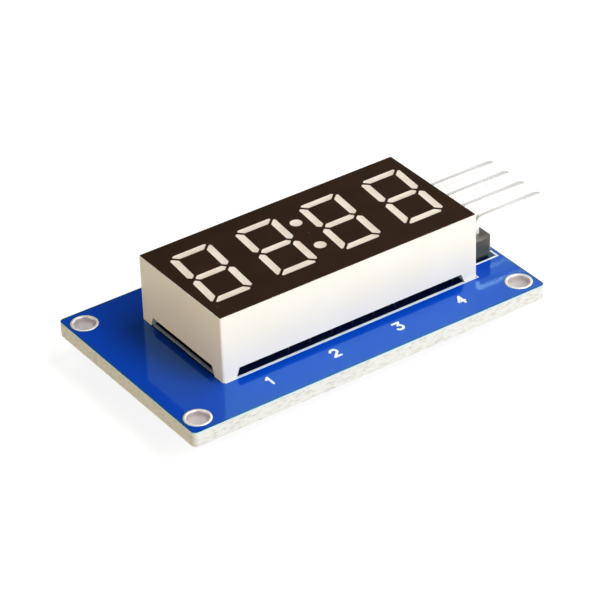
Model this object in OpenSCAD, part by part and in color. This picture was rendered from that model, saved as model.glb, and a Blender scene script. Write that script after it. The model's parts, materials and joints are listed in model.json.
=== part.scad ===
// Four-digit seven-segment clock display on a small circuit board, with a four-way
// right-angle pin header. The origin is the centre of the four mounting holes, on the
// underside of the board. +X runs along the board towards the header, and +Z points
// out of the display's face.

/* [Digits] */
// Width of one digit before it is slanted
digit_w = 4.8; // [4.2:0.1:5.2]
// Height of one digit
digit_h = 9.3; // [8.5:0.1:12]
// Distance from one digit to the next
digit_pitch = 7.55; // [7:0.05:9]
// Slant of the digits, in degrees
digit_slant = 5.3; // [0:0.1:8]
// How far the digits sit above the middle of the face
digit_rise = 0.1; // [0:0.05:0.4]
// Width of a segment
stroke_w = 0.8; // [0.6:0.05:1]
// Dark gap between two segments
segment_gap = 0.3; // [0.2:0.05:0.35]
// Cut across a digit's two blunt corners
corner_cut = 0.65; // [0.55:0.05:0.8]
// Cut across the segments' tips at the digit's waist
waist_cut = 0.38; // [0.3:0.02:0.46]
// Radius of a segment's corners
segment_corner_r = 0.14; // [0.06:0.01:0.16]
// Diameter of a colon dot
dot_d = 1.25; // [0.8:0.05:1.5]
// Height of a colon dot above or below the digits' middle
dot_offset = 2.35; // [1.5:0.05:3]

/* [Display housing] */
// Height of the display's face above the board
display_h = 7.35; // [6.5:0.05:9]
// Border from the digits to the housing's long sides
face_border = 2.4; // [2:0.1:4]
// Thickness of the housing's outer walls
housing_wall = 0.9; // [0.6:0.1:1.2]
// Radius of the housing's upright edges
housing_edge_r = 0.2; // [0.1:0.05:0.5]
// Height of the feet that hold the walls off the board
foot_h = 1.05; // [0.6:0.05:1.5]
// Width of a foot where it stands on the board
foot_w = 1.5; // [1.2:0.1:2.5]
// How much wider a foot is under the wall than on the board
foot_flare = 0.4; // [0.1:0.05:0.8]
// Thickness of the dark face film
face_t = 0.1; // [0.05:0.01:0.2]
// White rim left around the dark face film
face_rim = 0.12; // [0.05:0.01:0.4]

/* [Inside the display] */
// Thickness of the small board that carries the light chips
carrier_t = 0.8; // [0.4:0.1:1]
// Clearance between that board and the housing's walls
carrier_clearance = 0.1; // [0.05:0.01:0.2]
// Thickness of the resin that seals the housing's back
potting_t = 0.8; // [0.5:0.1:1]
// How far that resin lies inside the walls' lower edge
potting_recess = 0.2; // [0.1:0.05:0.4]
// Side of a light chip
die_w = 0.3; // [0.2:0.05:0.4]
// Height of a light chip
die_h = 0.15; // [0.1:0.01:0.25]

/* [Display pins] */
// Pins in each of the two rows
row_pins = 6; // [4:1:8]
// Distance from one display pin to the next
row_pitch = 2.54; // [2:0.02:2.6]
// Distance from the housing's long side to a row of display pins
row_inset = 1.97; // [1.8:0.01:3]
// Diameter of a display pin
display_pin_d = 0.5; // [0.4:0.05:0.6]
// Length of a display pin below the board
display_pin_tail = 1.2; // [1:0.1:1.6]

/* [Circuit board] */
// Thickness of the board
board_t = 1.6; // [0.8:0.1:2.4]
// Radius of the board's corners
board_corner_r = 0.5; // [0.3:0.1:1.6]
// Board left of the display
left_margin = 6.75; // [6:0.25:12]
// Board in front of the display
front_margin = 5.15; // [4:0.05:10]
// Board behind the display
rear_margin = 4.75; // [4:0.05:10]

/* [Mounting holes] */
// Diameter of a mounting hole
hole_d = 2.2; // [2:0.1:2.4]
// Hole's centre from the board's short edge
hole_inset_x = 1.75; // [1.6:0.05:2.2]
// Hole's centre from the board's long edge
hole_inset_y = 2; // [1.6:0.05:2.4]
// Width of the tinned ring around a hole
hole_ring_w = 0.3; // [0.1:0.05:0.4]
// Thickness of the tinned copper in and around a hole
plating_t = 0.05; // [0.03:0.01:0.08]

/* [Pin header] */
// Pitch of the header's pins
header_pitch = 2.54; // [2:0.02:2.8]
// Width of the header's plastic block
header_block_w = 2.54; // [2:0.02:3]
// Height of the header's plastic block
header_block_h = 2.54; // [1.5:0.02:2.7]
// Chamfer at the upright corners of each cell of the block
header_chamfer = 0.4; // [0.2:0.05:0.6]
// Chamfer around the top of the block
header_top_chamfer = 0.25; // [0.1:0.05:0.4]
// Height of the narrower stand-off that the block rests on
header_foot_h = 0.5; // [0.2:0.05:0.6]
// How far that stand-off lies inside the block's sides
header_foot_inset = 0.35; // [0.2:0.05:0.45]
// Gap from the display's end wall to the block
header_gap = 1.16; // [0.8:0.02:3]
// Board left between the block and the board's edge
header_edge = 0.85; // [0.6:0.05:2]
// How far the header sits behind the board's middle
header_shift = 0.4; // [0:0.1:1]
// Side of a square header pin
header_pin_w = 0.64; // [0.5:0.02:0.7]
// Height of the level part of a header pin above the board
header_pin_rise = 4; // [3.9:0.05:6]
// Reach of a header pin's tip from the row of pins
header_pin_reach = 8.2; // [6:0.1:12]
// Bend radius at the middle of a header pin
header_bend_r = 0.7; // [0.5:0.05:0.9]
// Length of a header pin below the board
header_pin_tail = 1.4; // [1.2:0.1:2]
// Length of the taper at a header pin's ends
header_taper_l = 0.5; // [0.3:0.05:0.6]
// How much the taper takes off each side of a header pin
header_taper_w = 0.15; // [0.05:0.01:0.2]

/* [Solder joints] */
// Height of the solder up a pin
solder_h = 0.8; // [0.5:0.05:0.9]
// Radius of a display pin's solder pad
display_solder_r = 0.8; // [0.6:0.05:0.9]
// Radius of a header pin's solder pad
header_solder_r = 0.85; // [0.75:0.05:0.95]
// Clearance around a display pin in its hole in the board
display_hole_clearance = 0.2; // [0.1:0.05:0.25]
// Clearance at a header pin's corners in its hole in the board
header_hole_clearance = 0.05; // [0.03:0.01:0.1]
// Solder left around a pin where the joint ends
solder_neck = 0.05; // [0.02:0.01:0.08]
// Thickness of a tinned pad under a surface part
pad_t = 0.05; // [0.03:0.01:0.08]
// Length of a tinned pad beyond the part that stands on it
pad_toe = 0.4; // [0.2:0.05:0.5]

/* [Driver chip] */
// Length of the chip's body
chip_l = 12.8; // [8:0.1:15]
// Width of the chip's body
chip_w = 7.5; // [6:0.1:8]
// Thickness of the chip's body
chip_h = 2.3; // [1.6:0.1:2.6]
// Gap between the chip's body and the board
chip_standoff = 0.1; // [0.05:0.01:0.2]
// Slope of the chip's moulded sides, as an inset at their edges
chip_draft = 0.15; // [0.05:0.01:0.25]
// Pitch of the chip's leads, of which each side has as many as fit
lead_pitch = 1.27; // [0.9:0.01:1.5]
// Least length of the body beyond its outermost leads
chip_end_l = 0.6; // [0.4:0.05:1]
// How far a lead's tip stands out from the body
lead_reach = 1.4; // [1.2:0.05:1.6]
// Width of a lead
lead_w = 0.4; // [0.3:0.02:0.5]
// Thickness of a lead
lead_t = 0.25; // [0.15:0.01:0.3]
// Length of a lead's flat foot
lead_foot = 0.75; // [0.6:0.05:0.85]
// Width of a lead's tinned pad
lead_pad_w = 0.56; // [0.52:0.02:0.7]
// Height of the solder against a lead's tip
lead_fillet_h = 0.17; // [0.1:0.01:0.2]
// Length of a lead held inside the body
lead_root = 0.3; // [0.2:0.05:0.5]
// Gap from the chip's pads to the display pins' pads
chip_gap = 0.65; // [0.4:0.05:1.5]
// Diameter of the round mark by the chip's first lead
chip_mark_d = 1; // [0.6:0.1:1.4]
// Depth of that mark
chip_mark_depth = 0.08; // [0.04:0.01:0.15]

/* [Small parts] */
// Length of a resistor or capacitor
passive_l = 1.6; // [1.4:0.1:2]
// Width of a resistor or capacitor
passive_w = 0.8; // [0.6:0.05:1.2]
// Height of a resistor
resistor_h = 0.5; // [0.35:0.05:0.6]
// Height of a capacitor
capacitor_h = 0.8; // [0.6:0.05:0.9]
// Length of a metal end cap
cap_l = 0.35; // [0.25:0.05:0.45]
// Thickness of a metal end cap's skin
cap_t = 0.05; // [0.03:0.01:0.08]
// Height of the solder against an end cap
cap_fillet_h = 0.3; // [0.15:0.05:0.35]
// Distance from one small part to the next
passive_pitch = 2.8; // [2:0.1:3.2]

/* [Legend] */
// Width of the display's printed outline
outline_w = 0.3; // [0.15:0.05:0.4]
// Width of the other printed lines
mark_w = 0.2; // [0.1:0.02:0.25]
// Thickness of the printed ink
ink_t = 0.03; // [0.02:0.01:0.05]
// Gap from the header's block to its printed outline
mark_gap = 0.32; // [0.15:0.01:0.4]
// Gap from the display's feet to its printed outline
foot_ink_gap = 0.05; // [0.03:0.01:0.2]
// Height of the printed digit numbers
number_h = 1.4; // [1:0.1:1.8]
// Width of the printed digit numbers
number_w = 0.95; // [0.7:0.05:1.2]
// Width of the lines of the printed numbers
number_line_w = 0.26; // [0.15:0.01:0.3]
// Gap from the display to the printed numbers
number_gap = 1.6; // [0.6:0.05:2]

/* [Hidden] */

$fn = 48;
digit_count = 4;
header_pins = 4;
resistor_count = 2;
capacitor_count = 3;
// Straight steps that draw the arc at a segment's corner
corner_steps = 4;
// Extra length of a cutting tool past the face that it cuts
past = 1;

// The display's outside and its place on the board
display_l = digit_count * digit_pitch;
display_w = digit_h + 2 * face_border;
board_l = left_margin + display_l + header_gap + header_block_w + header_edge;
board_w = front_margin + display_w + rear_margin;
display_x = -board_l / 2 + left_margin + display_l / 2;
display_y = -board_w / 2 + front_margin + display_w / 2;

// Levels above the underside of the board
wall_z = board_t + foot_h;
potting_z = wall_z + potting_recess;
carrier_z = potting_z + potting_t;
cavity_z = carrier_z + carrier_t;
face_z = board_t + display_h;
rim_z = face_z - face_t;
pocket_l = display_l - 2 * housing_wall;
pocket_w = display_w - 2 * housing_wall;

// Places of the holes, pins and parts
hole_x = board_l / 2 - hole_inset_x;
hole_y = board_w / 2 - hole_inset_y;
hole_pad_d = hole_d + 2 * hole_ring_w;
header_x = board_l / 2 - header_edge - header_block_w / 2;
header_pin_z = board_t + header_pin_rise;
row_l = (row_pins - 1) * row_pitch;
row_gap = display_w - 2 * row_inset;
display_hole_r = display_pin_d / 2 + display_hole_clearance;
header_pin_r = header_pin_w / sqrt(2);
header_hole_r = header_pin_r + header_hole_clearance;
lead_tip = chip_w / 2 + lead_reach;
chip_side_leads = floor((chip_l - 2 * chip_end_l) / lead_pitch) + 1;
lead_row_l = (chip_side_leads - 1) * lead_pitch;
chip_x = display_x - row_l / 2 - display_solder_r - chip_gap - pad_toe - lead_tip;
chip_mid_z = -chip_standoff - chip_h / 2;
passive_x = (display_x + row_l / 2 + header_x) / 2;
passive_total = resistor_count + capacitor_count;

function digit_x(i) = display_x + (i - (digit_count + 1) / 2) * digit_pitch;
function header_pin_y(i) = header_shift + (i - (header_pins + 1) / 2) * header_pitch;
function passive_y(i) = (i - (passive_total - 1) / 2) * passive_pitch;

// A digit's outline points. The digit's middle is the origin, and each segment is
// drawn upright and then slanted.
half_w = digit_w / 2;
half_h = digit_h / 2;
in_w = half_w - stroke_w;
in_h = half_h - stroke_w;
bar = stroke_w / 2;
// Half of the gap between two segments, measured level
slit = segment_gap / sqrt(2);
mitre = in_h - in_w;
blunt = half_h - corner_cut + half_w;

function slanted(points) = [for (p = points) [p.x + tan(digit_slant) * p.y, p.y]];
function half_turned(points) = [for (p = points) -p];

// The same outline with each corner drawn as an arc of radius r
function rounded(points, r) =
  let (n = len(points))
  [for (i = [0 : n - 1])
    let (p = points[i],
         back = points[(i + n - 1) % n] - p,
         ahead = points[(i + 1) % n] - p,
         u = back / norm(back),
         v = ahead / norm(ahead),
         half = acos(u * v) / 2,
         sweep = 180 - 2 * half,
         middle = p + (u + v) / norm(u + v) * r / sin(half),
         start = p + u * r / tan(half) - middle,
         end = p + v * r / tan(half) - middle)
    for (k = [0 : corner_steps])
      let (t = k / corner_steps)
      middle + (start * sin((1 - t) * sweep) + end * sin(t * sweep)) / sin(sweep)];

top_bar = [[-in_w + slit, in_h],
           [(mitre + slit - blunt) / 2, (mitre + slit + blunt) / 2],
           [-half_w + corner_cut, half_h],
           [in_w + stroke_w - slit, half_h],
           [in_w - slit, in_h]];
middle_bar = [[-in_w + slit, bar], [-in_w + slit - bar, 0], [-in_w + slit, -bar],
              [in_w - slit, -bar], [in_w - slit + bar, 0], [in_w - slit, bar]];
upper_left = [[-in_w, in_h - slit],
              [(mitre - slit - blunt) / 2, (mitre - slit + blunt) / 2],
              [-half_w, half_h - corner_cut],
              [-half_w, bar + slit - stroke_w + 2 * waist_cut],
              [-half_w + waist_cut, bar + slit - stroke_w + waist_cut],
              [-in_w, bar + slit]];
upper_right = [[in_w, in_h - slit],
               [half_w, in_h - slit + stroke_w],
               [half_w, stroke_w + slit - bar],
               [in_w + bar, slit],
               [in_w, bar + slit]];
SEGMENTS = [top_bar, upper_left, upper_right, middle_bar,
            half_turned(top_bar), half_turned(upper_left), half_turned(upper_right)];
// Middles of the same segments, where the light chips sit
SEGMENT_MIDDLES = [[0, half_h - bar], [-half_w + bar, half_h / 2], [half_w - bar, half_h / 2],
                   [0, 0], [0, -half_h + bar], [half_w - bar, -half_h / 2],
                   [-half_w + bar, -half_h / 2]];
DOTS = [[0, dot_offset], [0, -dot_offset]];

module rounded_rectangle(l, w, r) {
  square([l - 2 * r, w], center = true);
  square([l, w - 2 * r], center = true);
  for (sx = [-1, 1], sy = [-1, 1])
    translate([sx * (l / 2 - r), sy * (w / 2 - r)]) circle(r = r);
}

// Rectangular line, with the given size measured along its middle
module printed_frame(l, w, line) {
  difference() {
    square([l + line, w + line], center = true);
    square([l - line, w - line], center = true);
  }
}

// Puts its children at each display pin
module at_display_pins() {
  for (i = [0 : row_pins - 1], side = [-1, 1])
    translate([display_x - row_l / 2 + i * row_pitch, display_y + side * row_gap / 2, 0])
      children();
}

// Puts its children at each header pin
module at_header_pins() {
  for (i = [1 : header_pins]) translate([header_x, header_pin_y(i), 0]) children();
}

module at_mounting_holes() {
  for (sx = [-1, 1], sy = [-1, 1]) translate([sx * hole_x, sy * hole_y, 0]) children();
}

// Board

module circuit_board() {
  color("royalblue")
    difference() {
      linear_extrude(board_t) rounded_rectangle(board_l, board_w, board_corner_r);
      at_mounting_holes()
        translate([0, 0, -past]) cylinder(d = hole_d + 2 * plating_t, h = board_t + 2 * past);
      at_display_pins()
        translate([0, 0, -past]) cylinder(r = display_hole_r, h = board_t + 2 * past);
      at_header_pins()
        translate([0, 0, -past]) cylinder(r = header_hole_r, h = board_t + 2 * past);
    }
}

// Tinned ring on each face, and the plated wall of the hole between them
module mounting_pads() {
  color("silver")
    at_mounting_holes()
      difference() {
        union() {
          cylinder(d = hole_d + 2 * plating_t, h = board_t);
          translate([0, 0, -plating_t]) cylinder(d = hole_pad_d, h = plating_t);
          translate([0, 0, board_t]) cylinder(d = hole_pad_d, h = plating_t);
        }
        translate([0, 0, -past]) cylinder(d = hole_d, h = board_t + 2 * past);
      }
}

// One straight stroke of a printed number, with round ends
module number_stroke(from, to) {
  run = to - from;
  translate(from)
    rotate(atan2(run.y, run.x)) {
      translate([0, -number_line_w / 2]) square([norm(run), number_line_w]);
      circle(d = number_line_w);
      translate([norm(run), 0]) circle(d = number_line_w);
    }
}

// Lines of the printed numbers 1 to 4, point by point on a grid of unit width and height
NUMBER_LINES = [
  [[0.15, 0.75], [0.55, 1], [0.55, 0]],
  [[0, 0.8], [0.25, 1], [0.75, 1], [1, 0.8], [1, 0.6], [0, 0], [1, 0]],
  [[0, 1], [1, 1], [0.5, 0.6], [0.8, 0.6], [1, 0.42], [1, 0.18], [0.75, 0], [0.2, 0], [0, 0.15]],
  [[0.75, 0], [0.75, 1], [0, 0.3], [1, 0.3]]];

module printed_number(i) {
  size = [number_w - number_line_w, number_h - number_line_w];
  points = [for (p = NUMBER_LINES[i - 1]) [p.x * size.x, p.y * size.y]];
  translate([number_line_w, number_line_w] / 2)
    for (k = [1 : len(points) - 1]) number_stroke(points[k - 1], points[k]);
}

// Ink on the board's upper face: the display's outline, the header's outline and a
// number in front of each digit. The display covers the left side of its own outline.
module top_legend() {
  number_y = display_y - display_w / 2 - number_gap - number_h;
  color("white")
    translate([0, 0, board_t])
      linear_extrude(ink_t) {
        difference() {
          translate([display_x + outline_w / 2, display_y])
            printed_frame(display_l - outline_w, display_w, outline_w);
          feet_outline(foot_ink_gap);
        }
        translate([header_x, header_shift])
          printed_frame(header_block_w + 2 * mark_gap, header_pins * header_pitch + 2 * mark_gap, mark_w);
        for (i = [1 : digit_count])
          translate([digit_x(i) - number_w / 2, number_y]) printed_number(i);
      }
}

// Ink on the underside: outlines of the header and the small parts, and a dot at the
// chip's first lead
module underside_legend() {
  frame_w = 2 * header_solder_r + 2 * mark_gap + mark_w;
  small_l = passive_l + 2 * pad_toe + 2 * mark_gap + mark_w;
  small_w = passive_w + 2 * mark_gap + mark_w;
  dot_r = 2 * mark_w;
  color("white")
    translate([0, 0, -ink_t])
      linear_extrude(ink_t) {
        translate([header_x, header_shift])
          printed_frame(frame_w, (header_pins - 1) * header_pitch + frame_w, mark_w);
        for (i = [0 : passive_total - 1])
          translate([passive_x, passive_y(i)]) printed_frame(small_l, small_w, mark_w);
        translate([chip_x - lead_tip, (lead_row_l + lead_pad_w) / 2 + mark_gap + dot_r]) circle(r = dot_r);
      }
}

// Display

// Plan of the four feet that the housing stands on, with a gap around them
module feet_outline(gap) {
  side = foot_w + 2 * gap;
  translate([display_x, display_y])
    for (sx = [-1, 1], sy = [-1, 1])
      translate([sx * (display_l - foot_w) / 2, sy * (display_w - foot_w) / 2])
        square(side, center = true);
}

// Slot under a wall, between two feet, as seen along the wall's thickness
module foot_slot(l) {
  wide = l / 2 - foot_w;
  narrow = wide - foot_flare;
  polygon([[-wide, -past], [-wide, 0], [-narrow, foot_h], [narrow, foot_h], [wide, 0], [wide, -past]]);
}

// Outlines of one digit's segments, or of the colon's dots
module digit_outline() {
  for (s = SEGMENTS) polygon(rounded(slanted(s), segment_corner_r));
}

module colon_outline() {
  for (p = slanted(DOTS)) translate(p) circle(d = dot_d);
}

module at_digit(i) {
  translate([digit_x(i), display_y + digit_rise, 0]) children();
}

module at_colon() {
  translate([display_x, display_y + digit_rise, 0]) children();
}

// Every window in the face
module window_outlines() {
  for (i = [1 : digit_count]) at_digit(i) digit_outline();
  at_colon() colon_outline();
}

module display_housing() {
  color("ivory")
    difference() {
      translate([display_x, display_y, board_t])
        linear_extrude(display_h - face_t) rounded_rectangle(display_l, display_w, housing_edge_r);
      // Pocket for the carrier board and its resin
      translate([display_x - pocket_l / 2, display_y - pocket_w / 2, board_t - past])
        cube([pocket_l, pocket_w, cavity_z - board_t + past]);
      // Light wells
      translate([0, 0, cavity_z - past / 2])
        linear_extrude(rim_z - cavity_z + past) window_outlines();
      // Slots between the feet, front to back and end to end
      translate([display_x, display_y, board_t])
        rotate([90, 0, 0])
          linear_extrude(display_w + 2 * past, center = true) foot_slot(display_l);
      translate([display_x, display_y, board_t])
        rotate([90, 0, 90])
          linear_extrude(display_l + 2 * past, center = true) foot_slot(display_w);
    }
}

module display_face() {
  color("#2c221e")
    translate([0, 0, rim_z])
      linear_extrude(face_t)
        difference() {
          translate([display_x, display_y])
            square([display_l - 2 * face_rim, display_w - 2 * face_rim], center = true);
          window_outlines();
        }
}

// Light chips under one digit, or under the colon
module dies(middles) {
  for (p = slanted(middles)) translate([p.x, p.y, cavity_z + die_h / 2]) cube([die_w, die_w, die_h], center = true);
}

module digit_segments(i) {
  color("linen")
    at_digit(i)
      difference() {
        translate([0, 0, cavity_z]) linear_extrude(face_z - cavity_z) digit_outline();
        dies(SEGMENT_MIDDLES);
      }
}

module colon_dots() {
  color("linen")
    at_colon()
      difference() {
        translate([0, 0, cavity_z]) linear_extrude(face_z - cavity_z) colon_outline();
        dies(DOTS);
      }
}

module led_dies() {
  color("gold") {
    for (i = [1 : digit_count]) at_digit(i) dies(SEGMENT_MIDDLES);
    at_colon() dies(DOTS);
  }
}

module led_carrier_board() {
  color("darkgreen")
    difference() {
      translate([display_x, display_y, carrier_z + carrier_t / 2])
        cube([pocket_l - 2 * carrier_clearance, pocket_w - 2 * carrier_clearance, carrier_t], center = true);
      at_display_pins()
        translate([0, 0, carrier_z - past]) cylinder(d = display_pin_d, h = carrier_t + 2 * past);
    }
}

module display_potting() {
  color("whitesmoke")
    difference() {
      translate([display_x, display_y, potting_z + potting_t / 2])
        cube([pocket_l, pocket_w, potting_t], center = true);
      at_display_pins()
        translate([0, 0, potting_z - past]) cylinder(d = display_pin_d, h = potting_t + 2 * past);
    }
}

module display_pins() {
  color("silver")
    at_display_pins()
      translate([0, 0, -display_pin_tail]) cylinder(d = display_pin_d, h = display_pin_tail + cavity_z);
}

// Solder joints

// Solder that fills a pin's hole and climbs the pin below the board in a hollow cone
module solder_fill(pad_r, hole_r, pin_r) {
  steps = 6;
  cylinder(r = hole_r, h = board_t);
  rotate_extrude()
    polygon(concat([[0, 0]],
      [for (k = [0 : steps])
        let (a = 90 * k / steps)
        [pad_r - (pad_r - pin_r) * sin(a), -solder_h * (1 - cos(a))]],
      [[0, -solder_h]]));
}

module display_solder() {
  color("lightgray")
    at_display_pins()
      difference() {
        solder_fill(display_solder_r, display_hole_r, display_pin_d / 2 + solder_neck);
        translate([0, 0, -solder_h - past]) cylinder(d = display_pin_d, h = board_t + solder_h + 2 * past);
      }
}

module header_solder() {
  color("lightgray")
    at_header_pins()
      difference() {
        solder_fill(header_solder_r, header_hole_r, header_pin_r + solder_neck);
        translate([0, 0, (board_t - solder_h) / 2])
          cube([header_pin_w, header_pin_w, board_t + solder_h + 2 * past], center = true);
      }
}

// Header

// Plan of one cell
module header_cell() {
  hx = header_block_w / 2;
  hy = header_pitch / 2;
  c = header_chamfer;
  polygon([[-hx, -hy + c], [-hx, hy - c], [-hx + c, hy], [hx - c, hy],
           [hx, hy - c], [hx, -hy + c], [hx - c, -hy], [-hx + c, -hy]]);
}

// Side view of the block, as wide as the given length
module header_section(l) {
  top = header_block_h;
  c = header_top_chamfer;
  polygon([[-l / 2, 0], [-l / 2, top - c], [-l / 2 + c, top], [l / 2 - c, top],
           [l / 2, top - c], [l / 2, 0]]);
}

module header_block() {
  l = header_pins * header_pitch;
  color("#26262a")
    difference() {
      intersection() {
        translate([0, 0, board_t + header_foot_h])
          linear_extrude(header_block_h - header_foot_h) at_header_pins() header_cell();
        translate([header_x, header_shift, board_t])
          rotate([90, 0, 0]) linear_extrude(l, center = true) header_section(header_block_w);
        translate([header_x, header_shift, board_t])
          rotate([90, 0, 90]) linear_extrude(header_block_w, center = true) header_section(l);
      }
      translate([0, 0, board_t])
        linear_extrude(header_block_h + past) at_header_pins() square(header_pin_w, center = true);
    }
  color("#26262a")
    translate([0, 0, board_t])
      linear_extrude(header_foot_h)
        difference() {
          translate([header_x, header_shift])
            square([header_block_w - 2 * header_foot_inset, l - 2 * header_foot_inset], center = true);
          at_header_pins() square(header_pin_w, center = true);
        }
}

// Square bar from the origin along +Z, with a tapered far end
module tapered_bar(l) {
  r = header_pin_w / 2;
  profile = [[-r, 0], [r, 0], [r, l - header_taper_l], [r - header_taper_w, l],
             [-r + header_taper_w, l], [-r, l - header_taper_l]];
  intersection() {
    rotate([90, 0, 0]) linear_extrude(header_pin_w, center = true) polygon(profile);
    rotate([90, 0, 90]) linear_extrude(header_pin_w, center = true) polygon(profile);
  }
}

module header_pin(i) {
  bend_z = header_pin_z - header_bend_r;
  color("gainsboro")
    translate([header_x, header_pin_y(i), 0]) {
      translate([0, 0, bend_z]) rotate([180, 0, 0]) tapered_bar(bend_z + header_pin_tail);
      translate([header_bend_r, 0, bend_z])
        rotate([90, 0, 0]) rotate([0, 0, 90])
          rotate_extrude(angle = 90) translate([header_bend_r, 0]) square(header_pin_w, center = true);
      translate([header_bend_r, 0, header_pin_z])
        rotate([0, 90, 0]) tapered_bar(header_pin_reach - header_bend_r);
    }
}

// Driver chip

// Moulded section of the chip: widest at its middle, where the leads leave it
module chip_section(w) {
  top = -chip_standoff;
  bottom = top - chip_h;
  polygon([[-w / 2 + chip_draft, top], [-w / 2, chip_mid_z], [-w / 2 + chip_draft, bottom],
           [w / 2 - chip_draft, bottom], [w / 2, chip_mid_z], [w / 2 - chip_draft, top]]);
}

// Side view of one bent lead, on the +X side of the chip
module lead_profile() {
  root = chip_w / 2 - lead_root;
  knee = lead_tip - lead_foot - 2 * lead_t;
  heel = lead_tip - lead_foot;
  polygon([[root, chip_mid_z + lead_t / 2], [knee, chip_mid_z + lead_t / 2],
           [heel, -pad_t], [lead_tip, -pad_t],
           [lead_tip, -pad_t - lead_t], [heel + lead_t, -pad_t - lead_t],
           [knee + lead_t, chip_mid_z - lead_t / 2], [root, chip_mid_z - lead_t / 2]]);
}

// Puts its children, made for the +X side, at each lead of both sides
module at_leads() {
  for (side = [0, 180], i = [0 : chip_side_leads - 1])
    translate([chip_x, 0, 0]) rotate([0, 0, side])
      translate([0, i * lead_pitch - lead_row_l / 2, 0]) children();
}

module driver_chip_leads() {
  color("silver")
    at_leads() rotate([90, 0, 0]) linear_extrude(lead_w, center = true) lead_profile();
}

module driver_chip_body() {
  color("#1d1d1f")
    difference() {
      translate([chip_x, 0, 0])
        intersection() {
          rotate([90, 0, 0]) linear_extrude(chip_l, center = true) chip_section(chip_w);
          rotate([90, 0, 90]) linear_extrude(chip_w, center = true) chip_section(chip_l);
        }
      at_leads() rotate([90, 0, 0]) linear_extrude(lead_w, center = true) lead_profile();
      translate([chip_x - chip_w / 2 + chip_mark_d, chip_l / 2 - chip_mark_d,
                 -chip_standoff - chip_h - past])
        cylinder(d = chip_mark_d, h = past + chip_mark_depth);
    }
}

// Tinned pad with a wedge of solder at the outer end of what stands on it
module soldered_pad(inner, outer, w, wedge_h) {
  rotate([90, 0, 0])
    linear_extrude(w, center = true)
      polygon([[inner, 0], [inner, -pad_t], [outer, -pad_t], [outer, -pad_t - wedge_h],
               [outer + pad_toe, -pad_t], [outer + pad_toe, 0]]);
}

module driver_chip_solder() {
  color("lightgray")
    at_leads() soldered_pad(lead_tip - lead_foot, lead_tip, lead_pad_w, lead_fillet_h);
}

// Resistors and capacitors

// Ceramic body of a small part of the given height
module passive_body(h) {
  translate([0, 0, -pad_t - h / 2])
    cube([passive_l - 2 * cap_t, passive_w - 2 * cap_t, h - 2 * cap_t], center = true);
}

module passive_caps(h) {
  difference() {
    for (side = [-1, 1])
      translate([side * (passive_l - cap_l) / 2, 0, -pad_t - h / 2]) cube([cap_l, passive_w, h], center = true);
    passive_body(h);
  }
}

module at_passives(first, last) {
  for (i = [first : last]) translate([passive_x, passive_y(i), 0]) children();
}

module resistor_bodies() {
  color("#202022") at_passives(0, resistor_count - 1) passive_body(resistor_h);
}

module resistor_end_caps() {
  color("silver") at_passives(0, resistor_count - 1) passive_caps(resistor_h);
}

module capacitor_bodies() {
  color("tan") at_passives(resistor_count, passive_total - 1) passive_body(capacitor_h);
}

module capacitor_end_caps() {
  color("silver") at_passives(resistor_count, passive_total - 1) passive_caps(capacitor_h);
}

module passive_solder() {
  color("lightgray")
    at_passives(0, passive_total - 1)
      for (side = [0, 180])
        rotate([0, 0, side])
          soldered_pad(passive_l / 2 - cap_l, passive_l / 2, passive_w, cap_fillet_h);
}

circuit_board();
mounting_pads();
top_legend();
underside_legend();
display_housing();
display_face();
digit_segments(1);  // digit_1_segments
digit_segments(2);  // digit_2_segments
digit_segments(3);  // digit_3_segments
digit_segments(4);  // digit_4_segments
colon_dots();
led_carrier_board();
led_dies();
display_potting();
display_pins();
display_solder();
header_block();
header_pin(1);  // header_pin_1
header_pin(2);  // header_pin_2
header_pin(3);  // header_pin_3
header_pin(4);  // header_pin_4
header_solder();
driver_chip_body();
driver_chip_leads();
driver_chip_solder();
resistor_bodies();
resistor_end_caps();
capacitor_bodies();
capacitor_end_caps();
passive_solder();
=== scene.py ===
# Four-digit seven-segment clock display on a small blue circuit board: a moulded white
# display filled with milky resin under a dark film, a bent four-way pin header, and the
# driver chip with its small parts soldered to the underside.
import bmesh
import bpy
import json
import math
import random
from mathutils import Matrix, Vector


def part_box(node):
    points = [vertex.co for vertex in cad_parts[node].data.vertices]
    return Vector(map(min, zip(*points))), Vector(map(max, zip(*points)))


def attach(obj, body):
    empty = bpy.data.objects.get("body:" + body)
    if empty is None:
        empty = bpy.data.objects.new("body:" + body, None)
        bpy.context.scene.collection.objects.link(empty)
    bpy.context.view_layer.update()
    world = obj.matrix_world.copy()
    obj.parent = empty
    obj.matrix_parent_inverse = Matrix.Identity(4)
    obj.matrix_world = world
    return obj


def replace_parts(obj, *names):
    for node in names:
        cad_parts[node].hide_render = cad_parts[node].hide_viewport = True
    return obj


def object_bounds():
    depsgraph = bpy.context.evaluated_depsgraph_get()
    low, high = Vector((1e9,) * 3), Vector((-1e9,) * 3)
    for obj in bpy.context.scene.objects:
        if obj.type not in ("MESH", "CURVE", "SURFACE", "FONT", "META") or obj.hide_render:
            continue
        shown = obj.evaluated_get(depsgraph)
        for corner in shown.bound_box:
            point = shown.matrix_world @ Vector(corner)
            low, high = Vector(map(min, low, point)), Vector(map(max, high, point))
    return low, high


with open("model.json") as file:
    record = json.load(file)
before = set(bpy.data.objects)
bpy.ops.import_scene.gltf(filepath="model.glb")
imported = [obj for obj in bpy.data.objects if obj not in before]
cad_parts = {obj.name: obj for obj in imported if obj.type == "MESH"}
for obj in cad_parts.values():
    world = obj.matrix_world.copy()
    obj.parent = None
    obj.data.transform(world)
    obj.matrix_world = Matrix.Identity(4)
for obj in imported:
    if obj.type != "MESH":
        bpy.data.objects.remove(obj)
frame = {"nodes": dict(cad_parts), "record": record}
cad_lo, cad_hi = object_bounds()
MM = 0.001


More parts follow.
